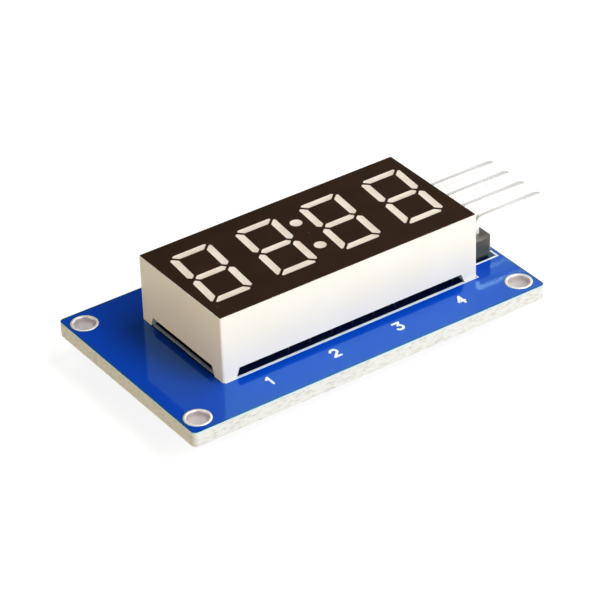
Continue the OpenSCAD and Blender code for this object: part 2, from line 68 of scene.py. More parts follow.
# Camera: stands in front of the board's left end and looks down on it, turned a little
# about its own line of sight.
camera_place = Vector((-146.2, -217.6, 173.9)) * MM
camera_aim = Vector((0, 0.5, 1.6)) * MM
camera_roll = math.radians(-2.18)
camera_lens = 192

sight = bpy.data.cameras.new("camera")
sight.lens = camera_lens
sight.clip_start = 0.01
sight.clip_end = 10
camera = bpy.data.objects.new("camera", sight)
bpy.context.scene.collection.objects.link(camera)
camera.location = camera_place
aim = (camera_aim - camera_place).to_track_quat("-Z", "Y").to_matrix()
camera.rotation_mode = "QUATERNION"
camera.rotation_quaternion = (aim @ Matrix.Rotation(camera_roll, 3, "Z")).to_quaternion()
bpy.context.scene.camera = camera
bpy.context.scene.view_settings.view_transform = "Standard"


# Studio: a table top that looks white, a large soft lamp to the right of the front, one
# high over the right end, low ones in front and at the left, where it is warm, a small
# white card behind the right end, and an even dim room.
floor_half = 0.6
floor_tone = (0.28, 0.275, 0.265, 1)
floor_lift = 0.87
floor_rough = 0.8
floor_specular = 0.2
room_tone = (1.0, 0.98, 0.95, 1)
room_level = 0.1


def start_material(name):
    """A new material, with its node tree and its Principled shader."""
    material = bpy.data.materials.new(name)
    material.use_nodes = True
    return material, material.node_tree, material.node_tree.nodes["Principled BSDF"]


def add_node(tree, kind, inputs=None, **settings):
    """Adds a node of that kind with the given settings and socket values."""
    node = tree.nodes.new(kind)
    for name, value in settings.items():
        setattr(node, name, value)
    for name, value in (inputs or {}).items():
        node.inputs[name].default_value = value
    return node


def join(tree, *pairs):
    """Links each pair of an output and an input."""
    for source, target in pairs:
        tree.links.new(source, target)


def calculate(tree, operation, first, second=None, third=None):
    """A Math node on sockets or numbers. Returns its output."""
    node = add_node(tree, "ShaderNodeMath", operation=operation)
    for place, value in enumerate((first, second, third)):
        if isinstance(value, (int, float)):
            node.inputs[place].default_value = value
        elif value is not None:
            tree.links.new(value, node.inputs[place])
    return node.outputs[0]


def table_top():
    """The floor. It shows more light than it gives the object, and keeps the shadow."""
    material, tree, shader = start_material("table_top")
    shader.inputs["Base Color"].default_value = floor_tone
    shader.inputs["Roughness"].default_value = floor_rough
    shader.inputs["Specular IOR Level"].default_value = floor_specular
    rays = add_node(tree, "ShaderNodeLightPath")
    seen = calculate(tree, "MAXIMUM", rays.outputs["Is Camera Ray"], rays.outputs["Is Glossy Ray"])
    seen = calculate(tree, "MAXIMUM", seen, rays.outputs["Is Transmission Ray"])
    lift = calculate(tree, "MULTIPLY", seen, floor_lift)
    shader.inputs["Emission Color"].default_value = (1, 1, 1, 1)
    join(tree, (lift, shader.inputs["Emission Strength"]))
    mesh = bpy.data.meshes.new("floor")
    corners = [(x * floor_half, y * floor_half, cad_lo.z)
               for x, y in ((-1, -1), (1, -1), (1, 1), (-1, 1))]
    mesh.from_pydata(corners, [], [(0, 1, 2, 3)])
    mesh.materials.append(material)
    floor = bpy.data.objects.new("floor", mesh)
    bpy.context.scene.collection.objects.link(floor)


def soft_lamp(name, place, size, power, tone):
    """A square lamp at that place in millimetres, which faces the middle of the board."""
    light = bpy.data.lights.new(name, "AREA")
    light.size = size
    light.energy = power
    light.color = tone
    lamp = bpy.data.objects.new(name, light)
    lamp.location = Vector(place) * MM
    lamp.rotation_mode = "QUATERNION"
    lamp.rotation_quaternion = (-lamp.location).to_track_quat("-Z", "Y")
    bpy.context.scene.collection.objects.link(lamp)


table_top()
soft_lamp("key_lamp", (180, -338, 321), size=0.26, power=1.7, tone=(1, 0.98, 0.94))
soft_lamp("high_lamp", (262, -37, 424), size=0.3, power=1.15, tone=(1, 0.98, 0.95))
soft_lamp("front_lamp", (50, -590, 85), size=0.3, power=2.05, tone=(1, 0.99, 0.95))
soft_lamp("side_lamp", (-590, 60, 38), size=0.07, power=1.42, tone=(1, 0.80, 0.49))
soft_lamp("back_card", (122, 112, 96), size=0.05, power=0.0065, tone=(1, 1, 1))
room = bpy.data.worlds.new("room")
room.use_nodes = True
room.node_tree.nodes["Background"].inputs["Color"].default_value = room_tone
room.node_tree.nodes["Background"].inputs["Strength"].default_value = room_level
bpy.context.scene.world = room


# Circuit board: glass-fibre laminate with copper on both faces under a glossy blue
# solder mask. Copper is left out along the edges and round the tinned rings, where the
# mask lies on bare laminate and looks darker. Under the display and round the header's
# foot the mask is painted nearly black, as painted shade under them.
board_lo, board_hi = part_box("circuit_board")
holes = frame["record"]["mounts"][0]["dims"]
hole_x = holes["spacing_x_mm"] / 2 * MM
hole_y = holes["spacing_y_mm"] / 2 * MM
copper_inset = 0.2 * MM
ring_clearance_r = 1.5 * MM
# How far the painted shade reaches past the header's foot
header_shade_margin = 0.2 * MM
mask_blur = 0.08 * MM
mask_on_copper = (0.0, 0.052, 0.52, 1)
mask_on_laminate = (0.004, 0.065, 0.24, 1)
# Nearly black: painted shade on the mask under the display and round the header's foot
painted_shade_under_parts = (0.001, 0.003, 0.03, 1)
mask_dust = (0.30, 0.45, 0.62, 1)
mask_rough = 0.07
mask_ior = 1.6
mask_tint = (0.12, 1, 1, 1)
peel_depth = 0.004 * MM
laminate_tone = (0.82, 0.805, 0.79, 1)
laminate_dark = (0.58, 0.54, 0.51, 1)
laminate_lip = (0.55, 0.80, 0.95, 1)
lip_depth = 0.16 * MM
lip_core = 0.6
edge_rough = 0.6
weave_per_metre = 2400
weave_stretch = (0.6, 0.6, 1.6)
weave_range = (0.46, 0.72)
weave_relief = 12
level_face = 0.5


def new_group(name, inputs, outputs):
    """A shader node group. Returns its tree, its input node and its output node."""
    group = bpy.data.node_groups.new(name, "ShaderNodeTree")
    for socket, value in inputs.items():
        made = group.interface.new_socket(socket, in_out="INPUT", socket_type="NodeSocketFloat")
        made.default_value = value
    for socket, kind in outputs.items():
        group.interface.new_socket(socket, in_out="OUTPUT", socket_type=kind)
    return group, add_node(group, "NodeGroupInput"), add_node(group, "NodeGroupOutput")


def grain_group():
    """Fine unevenness of a moulded or coated surface, with a slow drift of tone."""
    sizes = {"Grain per metre": 9000, "Drift per metre": 250}
    group, given, made = new_group(
        "surface_grain", sizes, {"Height": "NodeSocketFloat", "Drift": "NodeSocketFloat"})
    place = add_node(group, "ShaderNodeTexCoord")
    grain = add_node(group, "ShaderNodeTexNoise", {"Detail": 3, "Roughness": 0.6})
    drift = add_node(group, "ShaderNodeTexNoise", {"Detail": 2, "Roughness": 0.5})
    join(group, (place.outputs["Object"], grain.inputs["Vector"]),
         (place.outputs["Object"], drift.inputs["Vector"]),
         (given.outputs["Grain per metre"], grain.inputs["Scale"]),
         (given.outputs["Drift per metre"], drift.inputs["Scale"]),
         (grain.outputs["Fac"], made.inputs["Height"]),
         (drift.outputs["Fac"], made.inputs["Drift"]))
    return group


def dust_group():
    """Sparse bright specks of dust that lie on a dark surface."""
    sizes = {"Specks per metre": 900, "Speck size": 0.06}
    bare_share = 0.8
    group, given, made = new_group("dust_specks", sizes, {"Mask": "NodeSocketFloat"})
    place = add_node(group, "ShaderNodeTexCoord")
    cells = add_node(group, "ShaderNodeTexVoronoi", {"Randomness": 1})
    chosen = add_node(group, "ShaderNodeSeparateColor")
    join(group, (place.outputs["Object"], cells.inputs["Vector"]),
         (given.outputs["Specks per metre"], cells.inputs["Scale"]),
         (cells.outputs["Color"], chosen.inputs["Color"]))
    speck = calculate(group, "LESS_THAN", cells.outputs["Distance"], given.outputs["Speck size"])
    some = calculate(group, "GREATER_THAN", chosen.outputs["Red"], bare_share)
    join(group, (calculate(group, "MULTIPLY", speck, some), made.inputs["Mask"]))
    return group


grain = grain_group()
dust = dust_group()


def use_group(tree, group, **values):
    """Places a node group. A name's underscores stand for the spaces in its socket's name."""
    node = add_node(tree, "ShaderNodeGroup", node_tree=group)
    for name, value in values.items():
        node.inputs[name.replace("_", " ")].default_value = value
    return node


def blend(tree, share, first, second):
    """A colour between two, given as sockets or constant colours. Returns its output."""
    node = add_node(tree, "ShaderNodeMix", data_type="RGBA")
    for place, value in ((6, first), (7, second)):
        if isinstance(value, tuple):
            node.inputs[place].default_value = value
        else:
            tree.links.new(value, node.inputs[place])
    tree.links.new(share, node.inputs[0])
    return node.outputs[2]


def between(tree, share, first, second):
    """A number between two, at a share given by a socket. Returns its output."""
    return calculate(tree, "MULTIPLY_ADD", share, second - first, first)


def ramp(tree, value, low, high, to_low=0.0, to_high=1.0):
    """A smooth step of value between low and high. Returns its output."""
    node = add_node(tree, "ShaderNodeMapRange", interpolation_type="SMOOTHSTEP")
    for place, number in ((1, low), (2, high), (3, to_low), (4, to_high)):
        node.inputs[place].default_value = number
    tree.links.new(value, node.inputs[0])
    return node.outputs[0]


def add_bump(tree, shader, height, depth):
    """Raises the surface by height times depth, in metres."""
    bump = add_node(tree, "ShaderNodeBump", {"Strength": 1, "Distance": depth})
    join(tree, (height, bump.inputs["Height"]), (bump.outputs["Normal"], shader.inputs["Normal"]))


def mask_finish(tree, shader):
    """Gloss and faint orange peel, as on every solder mask surface."""
    peel = use_group(tree, grain, Grain_per_metre=700, Drift_per_metre=120)
    shader.inputs["Roughness"].default_value = mask_rough
    shader.inputs["IOR"].default_value = mask_ior
    shader.inputs["Specular Tint"].default_value = mask_tint
    return peel


def beyond_plan(tree, at, box):
    """How far a point lies outside a box, seen from above. Returns its output."""
    centre = (box[0] + box[1]) / 2
    half = (box[1] - box[0]) / 2
    off_x = calculate(tree, "ABSOLUTE", calculate(tree, "SUBTRACT", at.outputs["X"], centre.x))
    off_y = calculate(tree, "ABSOLUTE", calculate(tree, "SUBTRACT", at.outputs["Y"], centre.y))
    past_x = calculate(tree, "SUBTRACT", off_x, half.x)
    past_y = calculate(tree, "SUBTRACT", off_y, half.y)
    return calculate(tree, "MAXIMUM", past_x, past_y)


def board_material():
    """Mask on both faces, darker without copper, painted shade under parts, bare cloth at the
    edge.
    """
    material, tree, shader = start_material("board_with_solder_mask")
    peel = mask_finish(tree, shader)
    coords = add_node(tree, "ShaderNodeTexCoord")
    at = add_node(tree, "ShaderNodeSeparateXYZ")
    facing = add_node(tree, "ShaderNodeNewGeometry")
    up = add_node(tree, "ShaderNodeSeparateXYZ")
    join(tree, (coords.outputs["Object"], at.inputs[0]), (facing.outputs["Normal"], up.inputs[0]))
    side_x = calculate(tree, "ABSOLUTE", at.outputs["X"])
    side_y = calculate(tree, "ABSOLUTE", at.outputs["Y"])
    from_end = calculate(tree, "SUBTRACT", board_hi.x, side_x)
    from_side = calculate(tree, "SUBTRACT", board_hi.y, side_y)
    inside = calculate(tree, "MINIMUM", from_end, from_side)
    inside = ramp(tree, inside, copper_inset - mask_blur, copper_inset + mask_blur)
    off_x = calculate(tree, "SUBTRACT", side_x, hole_x)
    off_y = calculate(tree, "SUBTRACT", side_y, hole_y)
    squares = calculate(tree, "ADD", calculate(tree, "MULTIPLY", off_x, off_x),
                        calculate(tree, "MULTIPLY", off_y, off_y))
    reach = calculate(tree, "SQRT", squares)
    clear = ramp(tree, reach, ring_clearance_r - mask_blur, ring_clearance_r + mask_blur)
    top = calculate(tree, "GREATER_THAN", up.outputs["Z"], level_face)
    copper = calculate(tree, "MULTIPLY", calculate(tree, "MULTIPLY", inside, clear), top)
    mask_colour = blend(tree, copper, mask_on_laminate, mask_on_copper)
    # Painted shade: the mask under the display and just round the header is painted nearly black
    by_display = beyond_plan(tree, at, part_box("display_housing"))
    by_header = beyond_plan(tree, at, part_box("header_block"))
    by_header = calculate(tree, "SUBTRACT", by_header, header_shade_margin)
    beyond = calculate(tree, "MINIMUM", by_display, by_header)
    places = calculate(tree, "MULTIPLY", ramp(tree, beyond, -mask_blur, mask_blur, 1, 0), top)
    mask_colour = blend(tree, places, mask_colour, painted_shade_under_parts)
    specks = use_group(tree, dust, Specks_per_metre=540, Speck_size=0.042)
    mask_colour = blend(tree, specks.outputs["Mask"], mask_colour, mask_dust)
    upright = calculate(tree, "ABSOLUTE", up.outputs["Z"])
    flat = calculate(tree, "GREATER_THAN", upright, level_face)

    # Layers of glass cloth at the routed edge, with a paler lip under the mask
    weave = add_node(tree, "ShaderNodeTexNoise",
                     {"Scale": weave_per_metre, "Detail": 5, "Roughness": 0.65})
    flatten = add_node(tree, "ShaderNodeMapping", {"Scale": weave_stretch})
    join(tree, (coords.outputs["Object"], flatten.inputs["Vector"]),
         (flatten.outputs["Vector"], weave.inputs["Vector"]))
    threads = ramp(tree, weave.outputs["Fac"], *weave_range)
    cloth = blend(tree, threads, laminate_tone, laminate_dark)
    depth = calculate(tree, "SUBTRACT", board_hi.z, at.outputs["Z"])
    lip = ramp(tree, depth, lip_depth * lip_core, lip_depth, 1, 0)
    edge_colour = blend(tree, lip, cloth, laminate_lip)

    colour = blend(tree, flat, edge_colour, mask_colour)
    join(tree, (colour, shader.inputs["Base Color"]))
    join(tree, (between(tree, flat, edge_rough, mask_rough), shader.inputs["Roughness"]))
    routed = calculate(tree, "SUBTRACT", 1, flat)
    fibres = calculate(tree, "MULTIPLY", routed, weave.outputs["Fac"])
    relief = calculate(tree, "MULTIPLY_ADD", fibres, weave_relief, peel.outputs["Height"])
    add_bump(tree, shader, relief, peel_depth)
    return material


def dress(node, material):
    """Gives a CAD node that material alone."""
    slots = frame["nodes"][node].data.materials
    slots.clear()
    slots.append(material)


dress("circuit_board", board_material())


# Copper tracks on the underside: etched copper under the mask, so they stand up a
# little and look lighter. They run from the chip's leads to the display's pins, from
# the header to the small parts, and to plated vias that the mask covers.
track_w = 0.3 * MM
track_t = 0.03 * MM
track_slope = 0.03 * MM
track_gap = 0.35 * MM
track_tone = (0.001, 0.075, 0.5, 1)
track_other = (0.002, 0.1, 0.6, 1)
shortest_run = 0.02 * MM
weld_gap = 1e-7
flat_within = math.radians(0.5)
mitre_limit = 0.5
bus_pitch = 0.5 * MM
via_r = 0.36 * MM
via_hole_r = 0.15 * MM
chip_via_run = 0.9 * MM
chip_via_stagger = 0.8 * MM
part_via_run = 1.2 * MM
part_via_stagger = 0.7 * MM


def add_piece(name, bm, material, sharp=30):
    """Makes a piece from a bmesh in metres. Edges sharper than that angle stay crisp."""
    bmesh.ops.recalc_face_normals(bm, faces=bm.faces)
    for face in bm.faces:
        face.smooth = True
    for edge in bm.edges:
        edge.smooth = edge.calc_face_angle(0) < math.radians(sharp)
    mesh = bpy.data.meshes.new(name)
    bm.to_mesh(mesh)
    bm.free()
    mesh.materials.append(material)
    piece = bpy.data.objects.new(name, mesh)
    bpy.context.scene.collection.objects.link(piece)
    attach(piece, "root")
    return piece


def welded(node):
    """A bmesh of a CAD node with its seams closed and its flat faces whole."""
    bm = bmesh.new()
    bm.from_mesh(frame["nodes"][node].data)
    bmesh.ops.remove_doubles(bm, verts=bm.verts, dist=weld_gap)
    bmesh.ops.dissolve_limit(bm, angle_limit=flat_within, verts=bm.verts, edges=bm.edges)
    return bm


def solids(node):
    """(lowest corner, highest corner) of each separate solid in a CAD node, left to right."""
    bm = welded(node)
    left = set(bm.verts)
    boxes = []
    while left:
        todo = [left.pop()]
        found = []
        while todo:
            vert = todo.pop()
            found.append(vert.co.copy())
            for edge in vert.link_edges:
                other = edge.other_vert(vert)
                if other in left:
                    left.remove(other)
                    todo.append(other)
        boxes.append((Vector(map(min, zip(*found))), Vector(map(max, zip(*found)))))
    bm.free()
    return sorted(boxes, key=lambda box: (round(box[0].x, 5), round(box[0].y, 5)))


def middle(box):
    """The centre of a box that is given as its lowest and highest corner."""
    return (box[0] + box[1]) / 2


def lay_track(bm, points):
    """A flat strip with sloping sides along those points of the underside."""
    rows = []
    for i, point in enumerate(points):
        back = (point - points[i - 1]).normalized() if i else None
        ahead = (points[i + 1] - point).normalized() if i < len(points) - 1 else None
        way = ((back or ahead) + (ahead or back)).normalized()
        across = Vector((-way.y, way.x))
        leg = ahead or back
        half = track_w / 2 / max(mitre_limit, across.dot(Vector((-leg.y, leg.x))))
        flat = half - track_slope
        row = []
        for side, level in ((-half, 0), (-flat, -track_t), (flat, -track_t), (half, 0)):
            place = point + across * side
            row.append(bm.verts.new((place.x, place.y, level)))
        rows.append(row)
    for first, second in zip(rows, rows[1:]):
        for k in range(3):
            bm.faces.new((first[k], first[k + 1], second[k + 1], second[k]))
    bm.faces.new(rows[0])
    bm.faces.new(rows[-1])


def lathe(bm, profile, centre, steps=40, closed=False):
    """Turns a profile of (radius, height) points about an upright line through centre."""
    rings = []
    for r, z in profile:
        turns = [2 * math.pi * k / steps for k in range(steps)] if r > 0 else [0]
        places = [(centre.x + r * math.cos(a), centre.y + r * math.sin(a), z) for a in turns]
        rings.append([bm.verts.new(place) for place in places])
    pairs = list(zip(rings, rings[1:]))
    if closed:
        pairs.append((rings[-1], rings[0]))
    for first, second in pairs:
        for k in range(steps):
            corners = [first[k % len(first)], first[(k + 1) % steps % len(first)],
                       second[(k + 1) % steps % len(second)], second[k % len(second)]]
            corners = list(dict.fromkeys(corners))
            if len(corners) > 2:
                bm.faces.new(corners)


def via(bm, place):
    """A ring of copper round a small plated hole, closed by the mask."""
    lathe(bm, [(via_r, 0), (via_r - track_slope, -track_t), (via_hole_r + track_slope, -track_t),
               (via_hole_r, 0), (0, 0)], place, steps=24)


def bent(start, end, level):
    """A route from start to end that runs level between two bends of 45 degrees."""
    side = 1 if end.x > start.x else -1
    first = Vector((start.x + side * abs(level - start.y), level))
    second = Vector((end.x - side * abs(end.y - level), level))
    points = [start, first, second, end]
    return [p for i, p in enumerate(points) if i == 0 or (p - points[i - 1]).length > shortest_run]


def stub(bm, pad, run):
    """A short track from a pad's left side to a via."""
    start = Vector((pad[0].x + track_w / 2, middle(pad).y))
    end = start - Vector((run, 0))
    lay_track(bm, [start, end])
    via(bm, end)


def copper_tracks():
    """All tracks: chip to display pins, chip to vias, header to small parts and vias."""
    bm = bmesh.new()
    chip = middle(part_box("driver_chip_body"))
    pads = solids("driver_chip_solder")
    joint_boxes = solids("display_solder")
    pins = [middle(box).xy for box in joint_boxes]
    joint_r = (joint_boxes[0][1].x - joint_boxes[0][0].x) / 2
    pins_mid = sum(p.y for p in pins) / len(pins)
    for side in (-1, 1):
        row = sorted((p for p in pins if (p.y - pins_mid) * side > 0), key=lambda p: p.x)
        near = [b for b in pads if middle(b).x > chip.x and (middle(b).y - chip.y) * side > 0]
        near.sort(key=lambda b: -abs(middle(b).y - chip.y))
        for k, pad in enumerate(near):
            start = Vector((pad[1].x - track_w / 2, middle(pad).y))
            clear = row[k].y - side * (joint_r + track_gap + (k - 1) * bus_pitch)
            level = clear if k else row[k].y
            lay_track(bm, bent(start, row[k], level))
    far = sorted((b for b in pads if middle(b).x < chip.x), key=lambda b: middle(b).y)
    # Two of every three leads on the chip's left run to vias
    for k, pad in enumerate(far):
        if k % 3 != 1:
            stub(bm, pad, chip_via_run + chip_via_stagger * (k % 2))
    small = sorted(solids("passive_solder"), key=lambda b: middle(b).y)
    small_x = sum(middle(b).x for b in small) / len(small)
    right = [b for b in small if middle(b).x > small_x]
    left = [b for b in small if middle(b).x < small_x]
    joints = sorted((middle(b).xy for b in solids("header_solder")), key=lambda p: p.y)
    for joint, pad in zip(joints, right[1:]):
        lay_track(bm, bent(Vector((pad[1].x - track_w / 2, middle(pad).y)), joint, joint.y))
    for k, pad in enumerate(left):
        stub(bm, pad, part_via_run + part_via_stagger * (k % 2))
    return bm


def drifting(tree, skin, tone, other):
    """A colour that drifts between two tones over the surface. Returns its output."""
    return blend(tree, ramp(tree, skin.outputs["Drift"], 0.3, 0.7), tone, other)


def track_material():
    """The same mask, lighter over the raised copper."""
    material, tree, shader = start_material("solder_mask_on_tracks")
    peel = mask_finish(tree, shader)
    join(tree, (drifting(tree, peel, track_tone, track_other), shader.inputs["Base Color"]))
    add_bump(tree, shader, peel.outputs["Height"], peel_depth)
    return material


add_piece("copper_tracks", copper_tracks(), track_material(), sharp=60)


# Mounting rings: plated copper round each corner hole and down its wall, tinned with
# solder that was levelled by hot air. The ring bulges and has gone dull and white. The
# wall of the hole is painted greyer, as painted shade inside the hole.
ring_white = (0.96, 0.96, 0.97, 1)
ring_shade = (0.90, 0.90, 0.92, 1)
ring_metallic = 0.3
ring_rough = (0.28, 0.45)
ring_ripple_depth = 0.012 * MM
ring_band = 0.1 * MM
ring_soft = 0.45
ring_inner_round = 0.6
ring_inner_crown = 0.92
ring_outer_crown = 0.85
# The wall of the hole: painted shade, greyer than the ring's tin
barrel_painted_shade = (0.70, 0.64, 0.64, 1)
barrel_metallic = 0.6
barrel_gap = 0.01 * MM
tin_tone = (0.78, 0.76, 0.75, 1)
tin_shade = (0.50, 0.47, 0.46, 1)


def tin_group():
    """Cloudy gloss and slight ripples of tin or solder that froze on metal."""
    group, given, made = new_group(
        "frozen_tin", {"Ripples per metre": 1500, "Clouds per metre": 500},
        {"Height": "NodeSocketFloat", "Clouds": "NodeSocketFloat"})
    place = add_node(group, "ShaderNodeTexCoord")
    ripples = add_node(group, "ShaderNodeTexNoise", {"Detail": 2, "Distortion": 0.6})
    clouds = add_node(group, "ShaderNodeTexNoise", {"Detail": 4, "Roughness": 0.6})
    join(group, (place.outputs["Object"], ripples.inputs["Vector"]),
         (place.outputs["Object"], clouds.inputs["Vector"]),
         (given.outputs["Ripples per metre"], ripples.inputs["Scale"]),
         (given.outputs["Clouds per metre"], clouds.inputs["Scale"]),
         (ripples.outputs["Fac"], made.inputs["Height"]),
         (clouds.outputs["Fac"], made.inputs["Clouds"]))
    return group


tin = tin_group()


def tin_material(name, tone, shade, smooth, dull, ripples, depth, metallic=1.0):
    """Tin or solder between two tones and two roughnesses, with ripples of that depth."""
    material, tree, shader = start_material(name)
    skin = use_group(tree, tin, Ripples_per_metre=ripples, Clouds_per_metre=ripples / 3)
    cloud = ramp(tree, skin.outputs["Clouds"], 0.35, 0.65)
    join(tree, (blend(tree, cloud, tone, shade), shader.inputs["Base Color"]),
         (ramp(tree, skin.outputs["Clouds"], 0.3, 0.7, smooth, dull), shader.inputs["Roughness"]))
    shader.inputs["Metallic"].default_value = metallic
    add_bump(tree, shader, skin.outputs["Height"], depth)
    return material


tinned = tin_material("tinned_copper", tin_tone, tin_shade, smooth=0.16, dull=0.4,
                      ripples=1500, depth=0.02 * MM)


def ring_material():
    """Dull white tin on the rings; more metallic tin in the holes, with painted shade there."""
    material, tree, shader = start_material("levelled_tin")
    skin = use_group(tree, tin, Ripples_per_metre=1300, Clouds_per_metre=600)
    cloud = ramp(tree, skin.outputs["Clouds"], 0.35, 0.65)
    coords = add_node(tree, "ShaderNodeTexCoord")
    at = add_node(tree, "ShaderNodeSeparateXYZ")
    join(tree, (coords.outputs["Object"], at.inputs[0]))
    half = board_hi.z / 2
    from_middle = calculate(tree, "ABSOLUTE", calculate(tree, "SUBTRACT", at.outputs["Z"], half))
    outside = ramp(tree, from_middle, half - ring_band, half)
    ring_tone = blend(tree, cloud, ring_white, ring_shade)
    metal = between(tree, outside, barrel_metallic, ring_metallic)
    rough = ramp(tree, skin.outputs["Clouds"], 0.3, 0.7, *ring_rough)
    # The barrel's greyer tone is painted shade inside the hole
    join(tree, (blend(tree, outside, barrel_painted_shade, ring_tone), shader.inputs["Base Color"]),
         (metal, shader.inputs["Metallic"]), (rough, shader.inputs["Roughness"]))
    add_bump(tree, shader, skin.outputs["Height"], ring_ripple_depth)
    return material


def mounting_rings():
    """Ring on both faces and barrel between them, as one turned skin for each hole."""
    bm = bmesh.new()
    bore = holes["hole_r_mm"] * MM
    for box in solids("mounting_pads"):
        rim = (box[1].x - box[0].x) / 2
        skin = board_hi.z - board_lo.z
        plate = board_lo.z - box[0].z
        barrel = bore + plate
        soft = plate * ring_soft
        face = [(bore, -soft), (bore + soft * ring_inner_round, -plate * ring_inner_crown),
                ((bore + rim) / 2, -plate), (rim - soft, -plate * ring_outer_crown), (rim, 0)]
        up = [(r, skin - z) for r, z in reversed(face)]
        profile = [(barrel, barrel_gap)] + face[::-1] + up[::-1] + [(barrel, skin - barrel_gap)]
        lathe(bm, profile, middle(box), steps=56, closed=True)
    return bm


rings = add_piece("mounting_rings", mounting_rings(), ring_material(), sharp=80)
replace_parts(rings, "mounting_pads")


# Printed legends: thin white ink, screened on over the mask on both faces. The ink is
# a little blue where it is thin.
ink_tone = (0.86, 0.89, 0.93, 1)
ink_thin = (0.70, 0.79, 0.92, 1)
ink_grain_depth = 0.004 * MM


def ink_material():
    """White ink that thins here and there over the mask."""
    material, tree, shader = start_material("white_ink")
    skin = use_group(tree, grain, Grain_per_metre=12000, Drift_per_metre=900)
    thin = ramp(tree, skin.outputs["Drift"], 0.35, 0.7)
    join(tree, (blend(tree, thin, ink_tone, ink_thin), shader.inputs["Base Color"]))
    shader.inputs["Roughness"].default_value = 0.45
    add_bump(tree, shader, skin.outputs["Height"], ink_grain_depth)
    return material


ink = ink_material()
for node in ("top_legend", "underside_legend"):
    dress(node, ink)


# Display housing: one white plastic moulding with light wells, open at the back and
# standing on four corner feet. Its edges are slightly round and its skin is satin.
housing_round = 0.09 * MM
housing_skin = 0.05 * MM
housing_tone = (0.865, 0.85, 0.785, 1)
housing_warm = (0.855, 0.83, 0.755, 1)
rough_spread = 0.06
plastic_dust = (0.25, 0.22, 0.2, 1)


def round_edges(bm, radius, chosen, steps=3, angle=25):
    """Rounds the edges sharper than angle whose middle the test picks."""
    edges = []
    for edge in bm.edges:
        centre = (edge.verts[0].co + edge.verts[1].co) / 2
        if edge.is_manifold and edge.calc_face_angle(0) > math.radians(angle) and chosen(centre):
            edges.append(edge)
    bmesh.ops.bevel(bm, geom=edges, offset=radius, offset_type="OFFSET", segments=steps,
                    profile=0.5, affect="EDGES", clamp_overlap=True)


def plastic(name, tone, other, roughness, grains, depth, dusty=0.0):
    """A moulded plastic between two near tones, with fine grain and perhaps some dust."""
    material, tree, shader = start_material(name)
    skin = use_group(tree, grain, Grain_per_metre=grains, Drift_per_metre=grains / 40)
    colour = drifting(tree, skin, tone, other)
    if dusty:
        specks = use_group(tree, dust, Specks_per_metre=1100, Speck_size=dusty)
        colour = blend(tree, specks.outputs["Mask"], colour, plastic_dust)
    rough = ramp(tree, skin.outputs["Height"], 0.2, 0.8,
                 roughness - rough_spread, roughness + rough_spread)
    join(tree, (colour, shader.inputs["Base Color"]), (rough, shader.inputs["Roughness"]))
    add_bump(tree, shader, skin.outputs["Height"], depth)
    return material


def shell_of(node, radius, wall, steps=3):
    """A CAD node with its outer edges rounded, and the edges inside its walls left alone."""
    lo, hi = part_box(node)
    centre = (lo + hi) / 2
    reach = (hi - lo) / 2
    bm = welded(node)
    round_edges(bm, radius, lambda p: abs(p.x - centre.x) > reach.x - wall
                or abs(p.y - centre.y) > reach.y - wall, steps)
    return bm


white_plastic = plastic("white_moulding", housing_tone, housing_warm,
                        roughness=0.42, grains=7000, depth=0.003 * MM)
housing = add_piece("housing_moulding", shell_of("display_housing", housing_round, housing_skin),
                    white_plastic, sharp=40)
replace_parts(housing, "display_housing")


# Light segments and colon dots: milky resin that was poured into the wells from behind
# the film. Each surface sinks a little towards its middle where the resin shrank.
resin_tone = (0.95, 0.85, 0.75, 1)
resin_deep = (0.86, 0.74, 0.63, 1)
resin_grain_depth = 0.004 * MM
resin_top_band = 0.01 * MM
meniscus_steps = [(0.04 * MM, 0.004 * MM), (0.05 * MM, 0.012 * MM), (0.04 * MM, 0.006 * MM)]


def resin_material():
    """Milky resin, which lets a little light in."""
    material, tree, shader = start_material("milky_resin")
    body = use_group(tree, grain, Grain_per_metre=2500, Drift_per_metre=600)
    tone = ramp(tree, body.outputs["Drift"], 0.3, 0.75)
    join(tree, (blend(tree, tone, resin_tone, resin_deep), shader.inputs["Base Color"]))
    shader.inputs["Roughness"].default_value = 0.3
    shader.inputs["Subsurface Weight"].default_value = 0.25
    shader.inputs["Subsurface Radius"].default_value = (1, 0.7, 0.5)
    shader.inputs["Subsurface Scale"].default_value = 0.25 * MM
    add_bump(tree, shader, body.outputs["Height"], resin_grain_depth)
    return material


def resin_fill(node):
    """The node's solids, with the visible top faces dished in small steps."""
    bm = welded(node)
    top = max(vert.co.z for vert in bm.verts)
    faces = [face for face in bm.faces if face.normal.z > 0.9
             and face.calc_center_median().z > top - resin_top_band]
    for width, sink in meniscus_steps:
        bmesh.ops.inset_individual(bm, faces=faces, thickness=width, depth=-sink,
                                   use_even_offset=True)
    return bm


resin = resin_material()
for node in [f"digit_{i}_segments" for i in (1, 2, 3, 4)] + ["colon_dots"]:
    name = node.replace("segments", "resin").replace("dots", "resin")
    fill = add_piece(name, resin_fill(node), resin, sharp=50)
    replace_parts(fill, node)


# Face film: a thin dark brown-black foil glued over the front, with openings for the
# segments. It is nearly matt and carries a few specks.
film_tone = (0.0225, 0.0092, 0.0028, 1)
film_other = (0.0285, 0.0115, 0.0035, 1)
film_dust = (0.12, 0.10, 0.09, 1)
film_grain_depth = 0.002 * MM


def film_material():
    """Nearly matt dark foil with a few specks of dust."""
    material, tree, shader = start_material("dark_film")
    skin = use_group(tree, grain, Grain_per_metre=6000, Drift_per_metre=350)
    specks = use_group(tree, dust, Specks_per_metre=700, Speck_size=0.05)
    colour = drifting(tree, skin, film_tone, film_other)
    colour = blend(tree, specks.outputs["Mask"], colour, film_dust)
    join(tree, (colour, shader.inputs["Base Color"]))
    shader.inputs["Roughness"].default_value = 0.55
    shader.inputs["Specular IOR Level"].default_value = 0.15
    add_bump(tree, shader, skin.outputs["Height"], film_grain_depth)
    return material


dress("display_face", film_material())


